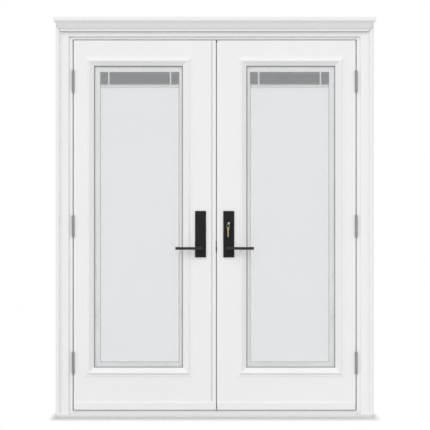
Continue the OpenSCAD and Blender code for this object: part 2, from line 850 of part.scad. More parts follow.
// Handle plate with bevelled edges, its back on y = 0 and its face towards -Y
module plate_body() {
    x0 = handle_x - plate_w / 2;
    x1 = handle_x + plate_w / 2;
    z1 = plate_z + plate_h;
    b = plate_bevel;
    intersection() {
        translate([0, 0, plate_z]) linear_extrude(plate_h) polygon([
            [x0, 0], [x0, -plate_t + b], [x0 + b, -plate_t],
            [x1 - b, -plate_t], [x1, -plate_t + b], [x1, 0]]);
        through_x(x0, x1) polygon([
            [0, plate_z], [-plate_t + b, plate_z], [-plate_t, plate_z + b], [-plate_t, z1 - b],
            [-plate_t + b, z1], [0, z1]]);
    }
}

// Turns a shape on the outer face over to the inner face
module on_inner_face() {
    translate([0, slab_t, 0]) mirror([0, 1, 0]) children();
}

// Lever with its neck, on the outer face: a bar with round edges that points to the hinges
module lever_body() {
    r = 3;
    neck_r = 10;
    face = -plate_t - pass_gap;
    y0 = -plate_t - lever_reach - lever_t;
    difference() {
        union() {
            rod_y(handle_x, lever_z, neck_r, y0 + lever_t / 2, face);
            rod_y(handle_x, lever_z, neck_r + 4, face - 5, face);
            through_x(handle_x - neck_r, handle_x + lever_l) polygon(concat(
                arc(y0 + r, lever_z - lever_h / 2 + r, r, 180, 270, 4),
                arc(y0 + lever_t - r, lever_z - lever_h / 2 + r, r, 270, 360, 4),
                arc(y0 + lever_t - r, lever_z + lever_h / 2 - r, r, 0, 90, 4),
                arc(y0 + r, lever_z + lever_h / 2 - r, r, 90, 180, 4)));
        }
        rod_y(handle_x, lever_z, spindle_r + run_fit, -plate_t - lever_reach, cut);
    }
}

module passive_handle_plates() {
    color(black) on_side(-1) {
        plate_body();
        on_inner_face() plate_body();
    }
}

// Dummy levers of the passive leaf, fixed to their plates
module passive_levers() {
    color(black) on_side(-1) {
        lever_body();
        rod_y(handle_x, lever_z, spindle_r, -plate_t - lever_reach, -plate_t);
        on_inner_face() {
            lever_body();
            rod_y(handle_x, lever_z, spindle_r, -plate_t - lever_reach, -plate_t);
        }
    }
}

module active_outer_plate() {
    color(black) difference() {
        plate_body();
        rod_y(handle_x, lever_z, spindle_r + run_fit, -plate_t - cut, cut);
        rod_y(handle_x, lock_z, cylinder_r + run_fit, -plate_t - cut, cut);
    }
}

module active_inner_plate() {
    color(black) on_inner_face() difference() {
        plate_body();
        rod_y(handle_x, lever_z, spindle_r + run_fit, -plate_t - cut, cut);
        rod_y(handle_x, lock_z, plug_r + run_fit, -plate_t - cut, cut);
    }
}

module outer_lever() {
    color(black) lever_body();
}

module inner_lever() {
    color(black) on_inner_face() lever_body();
}

module lever_spindle() {
    reach = plate_t + lever_reach - 1;
    color(steel) rod_y(handle_x, lever_z, spindle_r, -reach, slab_t + reach);
}

// Latch bolt with its bevel towards the inside
module latch_bolt() {
    nose = leaf_in - latch_nose;
    y0 = mid_y - latch_t / 2;
    y1 = mid_y + latch_t / 2;
    color(steel) translate([0, 0, lever_z - latch_h / 2]) linear_extrude(latch_h) polygon([
        [nose, y0], [nose, mid_y], [nose + latch_t / 2, y1], [nose + latch_l, y1], [nose + latch_l, y0]]);
}

// Plates in the active slab's edge, round the latch and the deadbolt
module edge_plates() {
    color(black) difference() {
        edge_plates_blank();
        bolt_channels();
    }
}

module edge_plates_blank() {
    for (z = [lever_z, lock_z]) {
        box([leaf_in, mid_y - edge_plate_w / 2, z - edge_plate_h() / 2],
            [leaf_in + edge_plate_t, mid_y + edge_plate_w / 2, z + edge_plate_h() / 2]);
    }
}

// Lock

module lock_cylinder() {
    color(black) difference() {
        rod_y(handle_x, lock_z, cylinder_r, -plate_t - plug_proud + 1, mid_y);
        rod_y(handle_x, lock_z, plug_r + run_fit, -plate_t - plug_proud - cut, mid_y + cut);
    }
}

// Puts a shape that is drawn round the Y axis at the lock, turned as the keyway is
module at_lock() {
    translate([handle_x, 0, lock_z]) rotate([0, key_turn, 0]) children();
}

// Plug with its keyway and a tail to the thumbturn
module key_plug() {
    face = -plate_t - plug_proud;
    color(brass) at_lock() {
        difference() {
            rod_y(0, 0, plug_r, face, mid_y);
            box([-key_t / 2 - run_fit, face - cut, -key_blade_h() / 2 - run_fit],
                [key_t / 2 + run_fit, face + key_blade_l() + cut, key_blade_h() / 2 + run_fit]);
        }
        rod_y(0, 0, tail_r, mid_y, slab_t + plate_t + thumb_neck_l);
    }
}

function key_blade_h() = plug_r * 1.25;
function key_blade_l() = mid_y + plate_t - 6;

// Key in the plug: a blade, a shoulder and a round bow with a hole near its rim
module key() {
    face = -plate_t - plug_proud;
    color(steel) at_lock() {
        box([-key_t / 2, face, -key_blade_h() / 2], [key_t / 2, face + key_blade_l(), key_blade_h() / 2]);
        box([-key_t / 2, face - bow_out + bow_r - 2, -5], [key_t / 2, face, 5]);
        translate([-bow_t / 2, face - bow_out, 0]) rotate([0, 90, 0]) difference() {
            cylinder(r = bow_r, h = bow_t);
            translate([hole_reach, 0, -cut]) cylinder(r = bow_hole_r, h = bow_t + 2 * cut);
        }
    }
}

module key_ring() {
    color(steel) translate([ring_x, ring_y, ring_z]) rotate([90, 0, 0])
        rotate_extrude() translate([ring_r, 0]) circle(r = ring_wire_r);
}

// Spare key that hangs from the ring, turned part of the way to the front
module spare_key() {
    hole_r = 3.5;
    head_w = 14;
    head_h = 18;
    blade_w = 8;
    blade_l = 40;
    head_r = 4;
    tip = 4;
    turn = 45;
    t = 1.6;
    hang = 2.2;
    hole_z = head_h - hole_r - 2.5;
    color(brass) translate([ring_x, ring_y, ring_z - ring_r - hang - hole_z]) rotate([0, 0, turn])
        translate([-t / 2, 0, 0]) difference() {
            through_x(0, t) polygon(concat(
                arc(head_w / 2 - head_r, head_h - head_r, head_r, 0, 90, 5),
                arc(head_r - head_w / 2, head_h - head_r, head_r, 90, 180, 5),
                arc(head_r - head_w / 2, head_r, head_r, 180, 250, 4),
                [[-blade_w / 2, -blade_l + tip], [0, -blade_l], [blade_w / 2, -blade_l + tip]],
                arc(head_w / 2 - head_r, head_r, head_r, 290, 360, 4)));
            translate([-cut, 0, hole_z]) rotate([0, 90, 0]) cylinder(r = hole_r, h = t + 2 * cut);
        }
}

// Thumbturn on the inner plate: a neck in the plate's bore and a flat grip
module thumbturn() {
    grip_w = 9;
    grip_h = 30;
    grip_l = 16;
    y0 = slab_t + plate_t + pass_gap;
    color(black) at_lock() difference() {
        union() {
            rod_y(0, 0, plug_r, slab_t + 1, y0);
            rod_y(0, 0, thumb_neck_r, y0, y0 + thumb_neck_l);
            through_y(y0 + thumb_neck_l, y0 + thumb_neck_l + grip_l) {
                translate([-grip_w / 2, -grip_h / 2 + grip_w / 2]) square([grip_w, grip_h - grip_w]);
                translate([0, grip_h / 2 - grip_w / 2]) circle(d = grip_w);
                translate([0, -grip_h / 2 + grip_w / 2]) circle(d = grip_w);
            }
        }
        rod_y(0, 0, tail_r + run_fit, slab_t, slab_t + plate_t + thumb_neck_l + run_fit);
    }
}

module deadbolt() {
    x0 = leaf_in + deadbolt_back;
    color(steel) box([x0, mid_y - bolt_t / 2, lock_z - deadbolt_h / 2],
                     [x0 + deadbolt_l, mid_y + bolt_t / 2, lock_z + deadbolt_h / 2]);
}

side_jamb(-1);  // left_jamb
side_jamb(1);  // right_jamb
head_jamb();
side_brickmoulds();
head_brickmould();
crown_cap();
sill();
sill_cap();
door_stops();
weatherstrips();
jamb_hinge_leaves();
hinge_pins();
bolt_strikes();
leaf_core(-1);  // passive_core
leaf_skins(-1);  // passive_skins
lite_frame(-1, false);  // passive_outer_lite_frame
lite_frame(-1, true);  // passive_inner_lite_frame
leaf_panes(-1);  // passive_panes
leaf_spacer(-1);  // passive_spacer
blind_headrail(-1);  // passive_headrail
blind_slats(-1);  // passive_slats
blind_ladders(-1);  // passive_ladders
blind_bottom_rail(-1);  // passive_bottom_rail
blind_operator(-1);  // passive_operator
drip_sweep(-1);  // passive_drip_sweep
leaf_hinge_leaves(-1);  // passive_hinge_leaves
passive_handle_plates();
passive_levers();
astragal();
astragal_seal();
strike_plate();
top_flush_bolt();
bottom_flush_bolt();
leaf_core(1);  // active_core
leaf_skins(1);  // active_skins
lite_frame(1, false);  // active_outer_lite_frame
lite_frame(1, true);  // active_inner_lite_frame
leaf_panes(1);  // active_panes
leaf_spacer(1);  // active_spacer
blind_headrail(1);  // active_headrail
blind_slats(1);  // active_slats
blind_ladders(1);  // active_ladders
blind_bottom_rail(1);  // active_bottom_rail
blind_operator(1);  // active_operator
drip_sweep(1);  // active_drip_sweep
leaf_hinge_leaves(1);  // active_hinge_leaves
active_outer_plate();
active_inner_plate();
outer_lever();
inner_lever();
lever_spindle();
latch_bolt();
edge_plates();
lock_cylinder();
key_plug();
key();
key_ring();
spare_key();
thumbturn();
deadbolt();
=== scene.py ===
"""Looks of a pair of steel entry doors in its frame. Metres, +Z up, the outside is towards -Y."""

import json
import math

import bpy
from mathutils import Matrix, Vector


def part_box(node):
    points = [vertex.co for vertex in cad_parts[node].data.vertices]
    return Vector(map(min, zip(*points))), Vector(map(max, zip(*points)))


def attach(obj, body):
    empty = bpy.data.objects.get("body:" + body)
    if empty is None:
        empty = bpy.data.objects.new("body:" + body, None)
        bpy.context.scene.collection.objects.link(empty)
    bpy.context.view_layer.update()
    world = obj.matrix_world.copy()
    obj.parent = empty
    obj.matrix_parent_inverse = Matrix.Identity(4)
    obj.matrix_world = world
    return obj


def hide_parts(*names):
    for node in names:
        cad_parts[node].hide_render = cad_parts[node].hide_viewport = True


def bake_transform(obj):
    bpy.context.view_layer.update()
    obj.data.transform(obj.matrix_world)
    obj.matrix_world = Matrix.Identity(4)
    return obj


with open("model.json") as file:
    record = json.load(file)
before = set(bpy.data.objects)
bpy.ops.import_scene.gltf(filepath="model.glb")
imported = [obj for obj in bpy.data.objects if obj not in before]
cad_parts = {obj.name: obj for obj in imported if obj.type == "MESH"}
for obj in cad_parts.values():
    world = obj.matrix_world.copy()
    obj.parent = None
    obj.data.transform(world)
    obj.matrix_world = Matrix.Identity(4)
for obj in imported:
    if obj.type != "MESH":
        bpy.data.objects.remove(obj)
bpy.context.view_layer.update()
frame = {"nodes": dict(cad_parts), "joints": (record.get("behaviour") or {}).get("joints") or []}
nodes = frame["nodes"]
scene = bpy.context.scene
scene.view_settings.view_transform = "Standard"

MM = 0.001
LEAVES = ("passive", "active")


# Materials

WHITE = (0.86, 0.86, 0.863)
SLAT_TONE = (0.2, 0.275, 0.245)
# Painted shade and painted light of the level rows on the slats, as shares of the slat tone
SLAT_ROW_SHADE, SLAT_ROW_LIGHT = 0.3, 1.9
GLASS_TONE = (0.74, 0.75, 0.765)
GLASS_HAZE = 0.22
PAINT_DRIFT = 0.985
PAINT_DRIFT_GRAIN = 0.35
PAINT_GLOSS_GRAIN = 0.05
LENGTHWISE = (1, 1, 40)


def new_material(name, color, roughness, metallic=0.0):
    """A material with a Principled shader; returns the material and its shader node."""
    made = bpy.data.materials.new(name)
    made.use_nodes = True
    shader = made.node_tree.nodes["Principled BSDF"]
    shader.inputs["Base Color"].default_value = (*color, 1)
    shader.inputs["Roughness"].default_value = roughness
    shader.inputs["Metallic"].default_value = metallic
    return made, shader


def noise(made, grain, detail=3.0, stretch=(1, 1, 1)):
    """Noise over the object's own coordinates, with grains of that size in metres, longer along stretch."""
    tree = made.node_tree
    coords = tree.nodes.new("ShaderNodeTexCoord")
    mapping = tree.nodes.new("ShaderNodeMapping")
    texture = tree.nodes.new("ShaderNodeTexNoise")
    mapping.inputs["Scale"].default_value = [1 / s for s in stretch]
    texture.inputs["Scale"].default_value = 1 / grain
    texture.inputs["Detail"].default_value = detail
    tree.links.new(coords.outputs["Object"], mapping.inputs["Vector"])
    tree.links.new(mapping.outputs["Vector"], texture.inputs["Vector"])
    return texture.outputs["Fac"]


def vary_color(made, shader, source, low, high):
    """Colour that wanders between two tones."""
    ramp = made.node_tree.nodes.new("ShaderNodeValToRGB")
    ramp.color_ramp.elements[0].position = 0.3
    ramp.color_ramp.elements[1].position = 0.7
    ramp.color_ramp.elements[0].color = (*low, 1)
    ramp.color_ramp.elements[1].color = (*high, 1)
    made.node_tree.links.new(source, ramp.inputs["Fac"])
    made.node_tree.links.new(ramp.outputs["Color"], shader.inputs["Base Color"])


def vary_roughness(made, shader, source, low, high):
    """Roughness that wanders between two values."""
    spread = made.node_tree.nodes.new("ShaderNodeMapRange")
    spread.inputs["To Min"].default_value = low
    spread.inputs["To Max"].default_value = high
    made.node_tree.links.new(source, spread.inputs["Value"])
    made.node_tree.links.new(spread.outputs["Result"], shader.inputs["Roughness"])


def add_bump(made, shader, source, strength, depth):
    """Relief of that depth in metres."""
    bump = made.node_tree.nodes.new("ShaderNodeBump")
    bump.inputs["Strength"].default_value = strength
    bump.inputs["Distance"].default_value = depth
    made.node_tree.links.new(source, bump.inputs["Height"])
    made.node_tree.links.new(bump.outputs["Normal"], shader.inputs["Normal"])


def paint(name, tone, grain, roughness, relief, stretch=(1, 1, 1)):
    """White paint or plastic: faint drift in tone and gloss, and a fine skin."""
    made, shader = new_material(name, tone, roughness)
    darker = [t * PAINT_DRIFT for t in tone]
    vary_color(made, shader, noise(made, PAINT_DRIFT_GRAIN), darker, tone)
    vary_roughness(made, shader, noise(made, PAINT_GLOSS_GRAIN), roughness - 0.05, roughness + 0.05)
    add_bump(made, shader, noise(made, grain, 2.0, stretch), 0.25, relief)
    return made


def metal(name, tone, roughness, stretch):
    """Brushed or worn metal with fine scratches along stretch."""
    made, shader = new_material(name, tone, roughness, 1.0)
    scratches = noise(made, 0.6 * MM, 4.0, stretch)
    vary_color(made, shader, noise(made, 0.012), [t * 0.9 for t in tone], tone)
    vary_roughness(made, shader, scratches, roughness - 0.08, roughness + 0.1)
    add_bump(made, shader, scratches, 0.3, 0.05 * MM)
    return made


def black_coat(name, gloss):
    """Matt black powder coat with a fine pebble."""
    made, shader = new_material(name, (0.012, 0.012, 0.013), 0.42)
    shader.inputs["Specular IOR Level"].default_value = gloss
    vary_color(made, shader, noise(made, 0.02), (0.01, 0.01, 0.011), (0.014, 0.014, 0.015))
    vary_roughness(made, shader, noise(made, 0.004), 0.36, 0.5)
    add_bump(made, shader, noise(made, 0.5 * MM, 2.0), 0.35, 0.08 * MM)
    return made


def rubber():
    """Dark grey rubber of the seals, also the painted shade of the cavity strips and the meeting fin."""
    made, shader = new_material("seal_rubber_and_painted_shade", (0.06, 0.06, 0.063), 0.7)
    vary_color(made, shader, noise(made, 0.03), (0.05, 0.05, 0.053), (0.07, 0.07, 0.073))
    add_bump(made, shader, noise(made, 0.8 * MM), 0.3, 0.1 * MM)
    return made


def slat_tone_and_row_shade():
    """Grey-green tone of the slats, with painted shade and painted light in fine level rows, as between
    stacked slats.
    """
    made, shader = new_material("slat_tone_and_row_shade", SLAT_TONE, 0.5)
    # Level rows of painted shade and painted light, as between stacked slats
    painted_rows = noise(made, 4 * MM, 2.0, (150, 1, 1))
    vary_color(made, shader, painted_rows,
               [t * SLAT_ROW_SHADE for t in SLAT_TONE], [t * SLAT_ROW_LIGHT for t in SLAT_TONE])
    return made


def braid():
    """White woven tape."""
    made, shader = new_material("tape_braid", (0.86, 0.87, 0.87), 0.8)
    weave = noise(made, 0.8 * MM, 2.0, (1, 1, 2))
    vary_color(made, shader, weave, (0.8, 0.81, 0.81), (0.88, 0.89, 0.89))
    add_bump(made, shader, weave, 0.5, 0.2 * MM)
    return made


def glass():
    """Thin milky pane: mostly clear, with a grey haze and a mirror gloss."""
    made, shader = new_material("pane_glass", GLASS_TONE, 0.04)
    shader.inputs["Alpha"].default_value = GLASS_HAZE
    shader.inputs["IOR"].default_value = 1.5
    shader.inputs["Coat Weight"].default_value = 0.6
    vary_color(made, shader, noise(made, 0.6, 1.0), [t * 0.98 for t in GLASS_TONE], GLASS_TONE)
    return made


door_paint = paint("door_paint", WHITE, 1.4 * MM, 0.38, 0.05 * MM)
frame_paint = paint("frame_paint", WHITE, 1.5 * MM, 0.45, 0.02 * MM, (1, 1, 12))
level_paint = paint("level_paint", WHITE, 1.5 * MM, 0.45, 0.02 * MM, (12, 1, 1))
lite_plastic = paint("lite_plastic", (0.87, 0.87, 0.87), 0.9 * MM, 0.42, 0.06 * MM)
vinyl = paint("sweep_vinyl", (0.84, 0.84, 0.845), 1.2 * MM, 0.4, 0.04 * MM, (12, 1, 1))
sill_coat = paint("sill_coat", (0.75, 0.75, 0.752), 1.0 * MM, 0.4, 0.005 * MM, (30, 1, 1))
spacer_coat = paint("spacer_coat", (0.95, 0.96, 0.955), 0.8 * MM, 0.5, 0.03 * MM)
blind_lacquer = paint("blind_lacquer", (0.8, 0.81, 0.81), 1.0 * MM, 0.45, 0.02 * MM, (20, 1, 1))
hinge_steel = metal("hinge_steel", (0.3, 0.3, 0.3), 0.38, (1, 1, 30))
bolt_steel = metal("bolt_steel", (0.52, 0.52, 0.53), 0.32, LENGTHWISE)
key_nickel = metal("key_nickel", (0.4, 0.39, 0.4), 0.22, (1, 8, 1))
key_brass = metal("key_brass", (0.6, 0.49, 0.27), 0.3, (1, 1, 10))
handle_black = black_coat("handle_black", 0.12)
lever_black = black_coat("lever_black", 0.3)
seal_rubber_and_painted_shade = rubber()
slat_coat = slat_tone_and_row_shade()
tape_cloth = braid()
# Grey of the glazing seals and the astragal bead: sealant, and painted shade of the dark lines at the glass
# lip and the astragal joint
sealant_grey_and_painted_shade = paint("sealant_grey_and_painted_shade", (0.3, 0.3, 0.3), 1.0 * MM, 0.6, 0.05 * MM)
pane_glass = glass()

LEAF_FINISHES = {
    "core": door_paint, "skins": door_paint, "outer_lite_frame": lite_plastic,
    "inner_lite_frame": lite_plastic, "panes": pane_glass, "spacer": spacer_coat, "headrail": spacer_coat,
    "slats": slat_coat, "ladders": tape_cloth, "bottom_rail": blind_lacquer, "operator": blind_lacquer,
    "drip_sweep": vinyl, "hinge_leaves": hinge_steel,
}
FINISHES = {
    "left_jamb": frame_paint, "right_jamb": frame_paint, "head_jamb": level_paint,
    "side_brickmoulds": frame_paint, "head_brickmould": level_paint,
    "crown_cap": level_paint, "sill": sill_coat, "sill_cap": sill_coat, "door_stops": frame_paint,
    "weatherstrips": seal_rubber_and_painted_shade, "jamb_hinge_leaves": hinge_steel, "hinge_pins": hinge_steel,
    "bolt_strikes": bolt_steel,
    "passive_handle_plates": handle_black, "passive_levers": lever_black, "astragal": door_paint,
    "astragal_seal": seal_rubber_and_painted_shade, "strike_plate": handle_black, "top_flush_bolt": bolt_steel,
    "bottom_flush_bolt": bolt_steel, "active_outer_plate": handle_black, "active_inner_plate": handle_black,
    "outer_lever": lever_black, "inner_lever": lever_black, "lever_spindle": bolt_steel,
    "latch_bolt": bolt_steel, "edge_plates": handle_black, "lock_cylinder": handle_black,
    "key_plug": key_nickel, "key": key_nickel, "key_ring": bolt_steel, "spare_key": key_brass,
    "thumbturn": handle_black, "deadbolt": bolt_steel,
}
for leaf in LEAVES:
    for part, finish in LEAF_FINISHES.items():
        FINISHES[f"{leaf}_{part}"] = finish

# Edges that the eye sees as round, with their radius in millimetres
WELD_REACH = 0.01 * MM
SHARP_EDGE = math.radians(40)
SOFT_EDGES = {
    "passive_handle_plates": 1.2, "active_outer_plate": 1.2, "active_inner_plate": 1.2, "passive_levers": 0.8,
    "outer_lever": 0.8, "inner_lever": 0.8, "sill_cap": 1.0, "key": 0.3, "spare_key": 0.3, "thumbturn": 0.8,
    "strike_plate": 0.4, "passive_operator": 0.6, "active_operator": 0.6,
}


def dress(name, node):
    """Puts a finish on a CAD node and softens its sharp edges."""
    node.data.materials.clear()
    node.data.materials.append(FINISHES[name])
    if name in SOFT_EDGES:
        weld = node.modifiers.new("weld", "WELD")
        weld.merge_threshold = WELD_REACH
        bevel = node.modifiers.new("edges", "BEVEL")
        bevel.width = SOFT_EDGES[name] * MM
        bevel.segments = 2
        bevel.limit_method = "ANGLE"
        bevel.angle_limit = SHARP_EDGE
        bevel.harden_normals = True


for node_name, cad_node in nodes.items():
    dress(node_name, cad_node)


# Blinds: slats laid out in their raised stack at the top, and ladder tapes

SLATS = 136
SLAT_TILT = math.radians(32)
SLAT_SHEET = 0.35 * MM
SLAT_ARCH = 0.9 * MM
SLAT_POINTS = 4
HALVINGS = 40
TAPE_SHEET = 0.4 * MM
TAPE_STEPS = 60


def mesh_piece(name, vertices, faces, finish):
    """A mesh object with a finish."""
    mesh = bpy.data.meshes.new(name)
    mesh.from_pydata(vertices, [], faces)
    mesh.materials.append(finish)
    piece = bpy.data.objects.new(name, mesh)
    scene.collection.objects.link(piece)
    return piece


def add_box(vertices, faces, low, high):
    """Adds a box between two corners to a mesh's lists."""
    first = len(vertices)
    for z in (low[2], high[2]):
        vertices += [(low[0], low[1], z), (high[0], low[1], z), (high[0], high[1], z), (low[0], high[1], z)]
    faces += [[first + k for k in (3, 2, 1, 0)], [first + k for k in (4, 5, 6, 7)]]
    faces += [[first + k, first + (k + 1) % 4, first + 4 + (k + 1) % 4, first + 4 + k] for k in range(4)]


def prism_faces(first, ring):
    """Sides and two ends of a prism whose two equal rings of points start at that vertex."""
    sides = [(first + k, first + (k + 1) % ring, first + ring + (k + 1) % ring, first + ring + k)
             for k in range(ring)]
    return sides + [[first + k for k in reversed(range(ring))], [first + ring + k for k in range(ring)]]


def smooth(share):
    """How far a point at that share of the stack follows the bottom rail."""
    return share * share * (3 - 2 * share)


def raised_height(lowered, top, stack, drop):
    """Height in the raised stack of a point that hangs at the lowered height once the blind is down."""
    low, high = 0.0, 1.0
    for _ in range(HALVINGS):
        share = (low + high) / 2
        if top - share * stack - drop * smooth(share) > lowered:
            low = share
        else:
            high = share
    return top - low * stack


def slat_outline(depth):
    """Closed section of a tilted, arched slat as pairs of Y and height."""
    upper = []
    for k in range(SLAT_POINTS + 1):
        across = 2 * k / SLAT_POINTS - 1
        flat = across * depth / 2
        arch = SLAT_ARCH * (1 - across * across)
        upper.append((flat * math.cos(SLAT_TILT) - arch * math.sin(SLAT_TILT),
                      -flat * math.sin(SLAT_TILT) + arch * math.cos(SLAT_TILT)))
    return upper + [(y, z - SLAT_SHEET) for y, z in reversed(upper)]


def build_slats(leaf, drop):
    """All the slats of one blind as one mesh, laid out in the raised stack."""
    low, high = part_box(f"{leaf}_slats")
    top, stack, middle = high.z, high.z - low.z, (low.y + high.y) / 2
    section = slat_outline(high.y - low.y)
    pitch = (stack + drop) / SLATS
    vertices, faces = [], []
    for i in range(SLATS):
        level = top - (i + 0.5) * pitch
        first = len(vertices)
        for x in (low.x, high.x):
            vertices += [(x, middle + y, raised_height(level + z, top, stack, drop)) for y, z in section]
        faces += prism_faces(first, len(section))
    piece = mesh_piece(f"{leaf}_blind_slats", vertices, faces, slat_coat)
    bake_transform(piece)
    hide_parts(f"{leaf}_slats")


def tape_width(leaf):
    """Width of the left one of the two tapes, from its solid."""
    low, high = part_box(f"{leaf}_ladders")
    middle = (low.x + high.x) / 2
    return max(v.co.x for v in nodes[f"{leaf}_ladders"].data.vertices if v.co.x < middle) - low.x


def build_tapes(leaf):
    """Ladder tapes in front of the slats and behind them."""
    low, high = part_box(f"{leaf}_ladders")
    width = tape_width(leaf)
    vertices, faces = [], []
    for x in (low.x, high.x - width):
        for y in (low.y, high.y - TAPE_SHEET):
            first = len(vertices)
            for k in range(TAPE_STEPS + 1):
                z = high.z + (low.z - high.z) * k / TAPE_STEPS
                vertices += [(x, y, z), (x + width, y, z),
                             (x + width, y + TAPE_SHEET, z), (x, y + TAPE_SHEET, z)]
            for k in range(TAPE_STEPS):
                a = first + 4 * k
                faces += [(a + j, a + (j + 1) % 4, a + 4 + (j + 1) % 4, a + 4 + j) for j in range(4)]
            last = first + 4 * TAPE_STEPS
            faces += [(first + 3, first + 2, first + 1, first), (last, last + 1, last + 2, last + 3)]
    piece = mesh_piece(f"{leaf}_blind_tapes", vertices, faces, tape_cloth)
    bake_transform(piece)
    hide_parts(f"{leaf}_ladders")


drops = {j["name"]: j["range_m"][1] for j in frame["joints"] if j["type"] == "slide"}
for leaf in LEAVES:
    build_slats(leaf, drops[f"{leaf}_blind_drop"])
    build_tapes(leaf)


# Grey glazing seal along the lip of each lite frame, on both panes: sealant, and painted shade of the dark
# line at the lip

GLASS_LAP = 12 * MM
SEAL_WIDTH = 5.5 * MM
SEAL_RISE = 1.6 * MM
SEAL_WEDGE = ((0, 0), (0, SEAL_RISE), (SEAL_WIDTH * 0.4, SEAL_RISE * 0.8), (SEAL_WIDTH, 0))


def glazing_seal_and_shade(leaf, side):
    """A wedge of sealant round the glass that also paints the shade at the lip, on the outer pane where side
    is -1 and the inner where it is 1.
    """
    low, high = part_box(f"{leaf}_panes")
    face = low.y if side < 0 else high.y
    vertices, faces = [], []
    for inset, rise in SEAL_WEDGE:
        edge = GLASS_LAP + inset
        y = face + side * rise
        vertices += [(low.x + edge, y, low.z + edge), (high.x - edge, y, low.z + edge),
                     (high.x - edge, y, high.z - edge), (low.x + edge, y, high.z - edge)]
    count = len(SEAL_WEDGE)
    for k in range(count):
        for c in range(4):
            a, b = 4 * k + c, 4 * k + (c + 1) % 4
            ahead = 4 * ((k + 1) % count) - 4 * k
            faces.append((a, b, b + ahead, a + ahead))
    where = "outer" if side < 0 else "inner"
    piece = mesh_piece(f"{leaf}_{where}_glazing_seal", vertices, faces, sealant_grey_and_painted_shade)
    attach(piece, f"{leaf}_leaf")


for leaf in LEAVES:
    for side in (-1, 1):
        glazing_seal_and_shade(leaf, side)


# Dark strips of painted shade on the spacer's inner edge, and under the headrail

SPACER_SHADE_WIDTH = 2.6 * MM
SPACER_SHADE_DEPTH = 1.6 * MM
SPACER_SHADE_BACK = 0.2 * MM
# Height and depth of the dark strip of painted shade under the headrail
HEADRAIL_SHADE_HEIGHT = 7 * MM
HEADRAIL_SHADE_DEPTH = 1 * MM


def inner_edges(node, axis):
    """Second lowest and second highest place of a ring's corners along an axis: its inner edges."""
    places = sorted({round(v.co[axis], 4) for v in nodes[node].data.vertices})
    return places[1], places[-2]


def spacer_shade_strips(leaf):
    """Three dark strips of painted shade behind the outer pane, from the headrail down and along the foot."""
    left, right = inner_edges(f"{leaf}_spacer", 0)
    foot = inner_edges(f"{leaf}_spacer", 2)[0]
    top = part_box(f"{leaf}_headrail")[0].z
    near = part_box(f"{leaf}_spacer")[0].y + SPACER_SHADE_BACK
    far = near + SPACER_SHADE_DEPTH
    vertices, faces = [], []
    for x in (left, right - SPACER_SHADE_WIDTH):
        add_box(vertices, faces, (x, near, foot + SPACER_SHADE_WIDTH), (x + SPACER_SHADE_WIDTH, far, top))
    add_box(vertices, faces, (left, near, foot), (right, far, foot + SPACER_SHADE_WIDTH))
    piece = mesh_piece(f"{leaf}_spacer_shade_strips", vertices, faces, seal_rubber_and_painted_shade)
    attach(piece, f"{leaf}_leaf")


def headrail_shade_strip(leaf):
    """Dark strip of painted shade under the headrail, in front of the top slats and clear of the tapes."""
    slats_low, slats_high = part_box(f"{leaf}_slats")
    tapes_low, tapes_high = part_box(f"{leaf}_ladders")
    rail_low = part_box(f"{leaf}_headrail")[0]
    width = tape_width(leaf)
    spans = ((slats_low.x, tapes_low.x), (tapes_low.x + width, tapes_high.x - width),
             (tapes_high.x, slats_high.x))
    vertices, faces = [], []
    for left, right in spans:
        add_box(vertices, faces, (left, rail_low.y, rail_low.z - HEADRAIL_SHADE_HEIGHT),
                (right, rail_low.y + HEADRAIL_SHADE_DEPTH, rail_low.z))
    piece = mesh_piece(f"{leaf}_headrail_shade_strip", vertices, faces, seal_rubber_and_painted_shade)
    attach(piece, f"{leaf}_leaf")


for leaf in LEAVES:
    spacer_shade_strips(leaf)
    headrail_shade_strip(leaf)


# Grey bead in the joint between the passive slab and its astragal: painted shade of the step between them

BEAD_WIDTH = 3.2 * MM
BEAD_PROUD = 0.5 * MM
BEAD_ARCS = 6


def astragal_shade_bead():
    """A low round grey bead along the joint on both faces of the leaf, as a painted shade line."""
    low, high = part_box("astragal")
    vertices, faces = [], []
    for y, out in ((low.y, -1), (high.y, 1)):
        first = len(vertices)
        for z in (low.z + BEAD_WIDTH, high.z - BEAD_WIDTH):
            for k in range(BEAD_ARCS + 1):
                angle = math.pi * k / BEAD_ARCS
                vertices.append((low.x - BEAD_WIDTH / 2 * math.cos(angle),
                                 y + out * BEAD_PROUD * math.sin(angle), z))
        faces += prism_faces(first, BEAD_ARCS + 1)
    piece = mesh_piece("astragal_shade_bead", vertices, faces, sealant_grey_and_painted_shade)
    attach(piece, "passive_leaf")


astragal_shade_bead()


# Dark rubber fin on the astragal's meeting face, short of the active leaf: a seal, and painted shade that
# darkens the meeting gap

FIN_REACH = 4.5 * MM
FIN_BACK = 4 * MM
FIN_SHEET = 1.5 * MM


def meeting_seal_and_shade_fin():
    """A flat dark fin along the whole meeting edge, as painted shade in the gap."""
    low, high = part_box("astragal")
    near = low.y + FIN_BACK
    vertices, faces = [], []
    add_box(vertices, faces, (high.x, near, low.z + FIN_REACH),
            (high.x + FIN_REACH, near + FIN_SHEET, high.z - FIN_REACH))
    piece = mesh_piece("meeting_seal_and_shade_fin", vertices, faces, seal_rubber_and_painted_shade)
    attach(piece, "passive_leaf")


meeting_seal_and_shade_fin()


# Countersunk screws in the hinge leaves

SCREW_R = 4.2 * MM
SCREW_PROUD = 0.35 * MM
SCREW_SIDES = 20
SCREW_RINGS = ((SCREW_R, 0.0), (SCREW_R * 0.92, SCREW_PROUD * 0.7), (SCREW_R * 0.45, SCREW_PROUD))
CROSS_ARM_SIDES = 5
CROSS_NOTCH = (2, 3)
CROSS_REACH = 0.5
CROSS_FLOOR = SCREW_PROUD * 0.3
SCREW_ROWS = (-0.36, -0.12, 0.12, 0.36)
SCREW_COLUMNS = (22 * MM, 11 * MM)
HINGE_APART = 0.2
KNUCKLE_DEPTH = 20 * MM


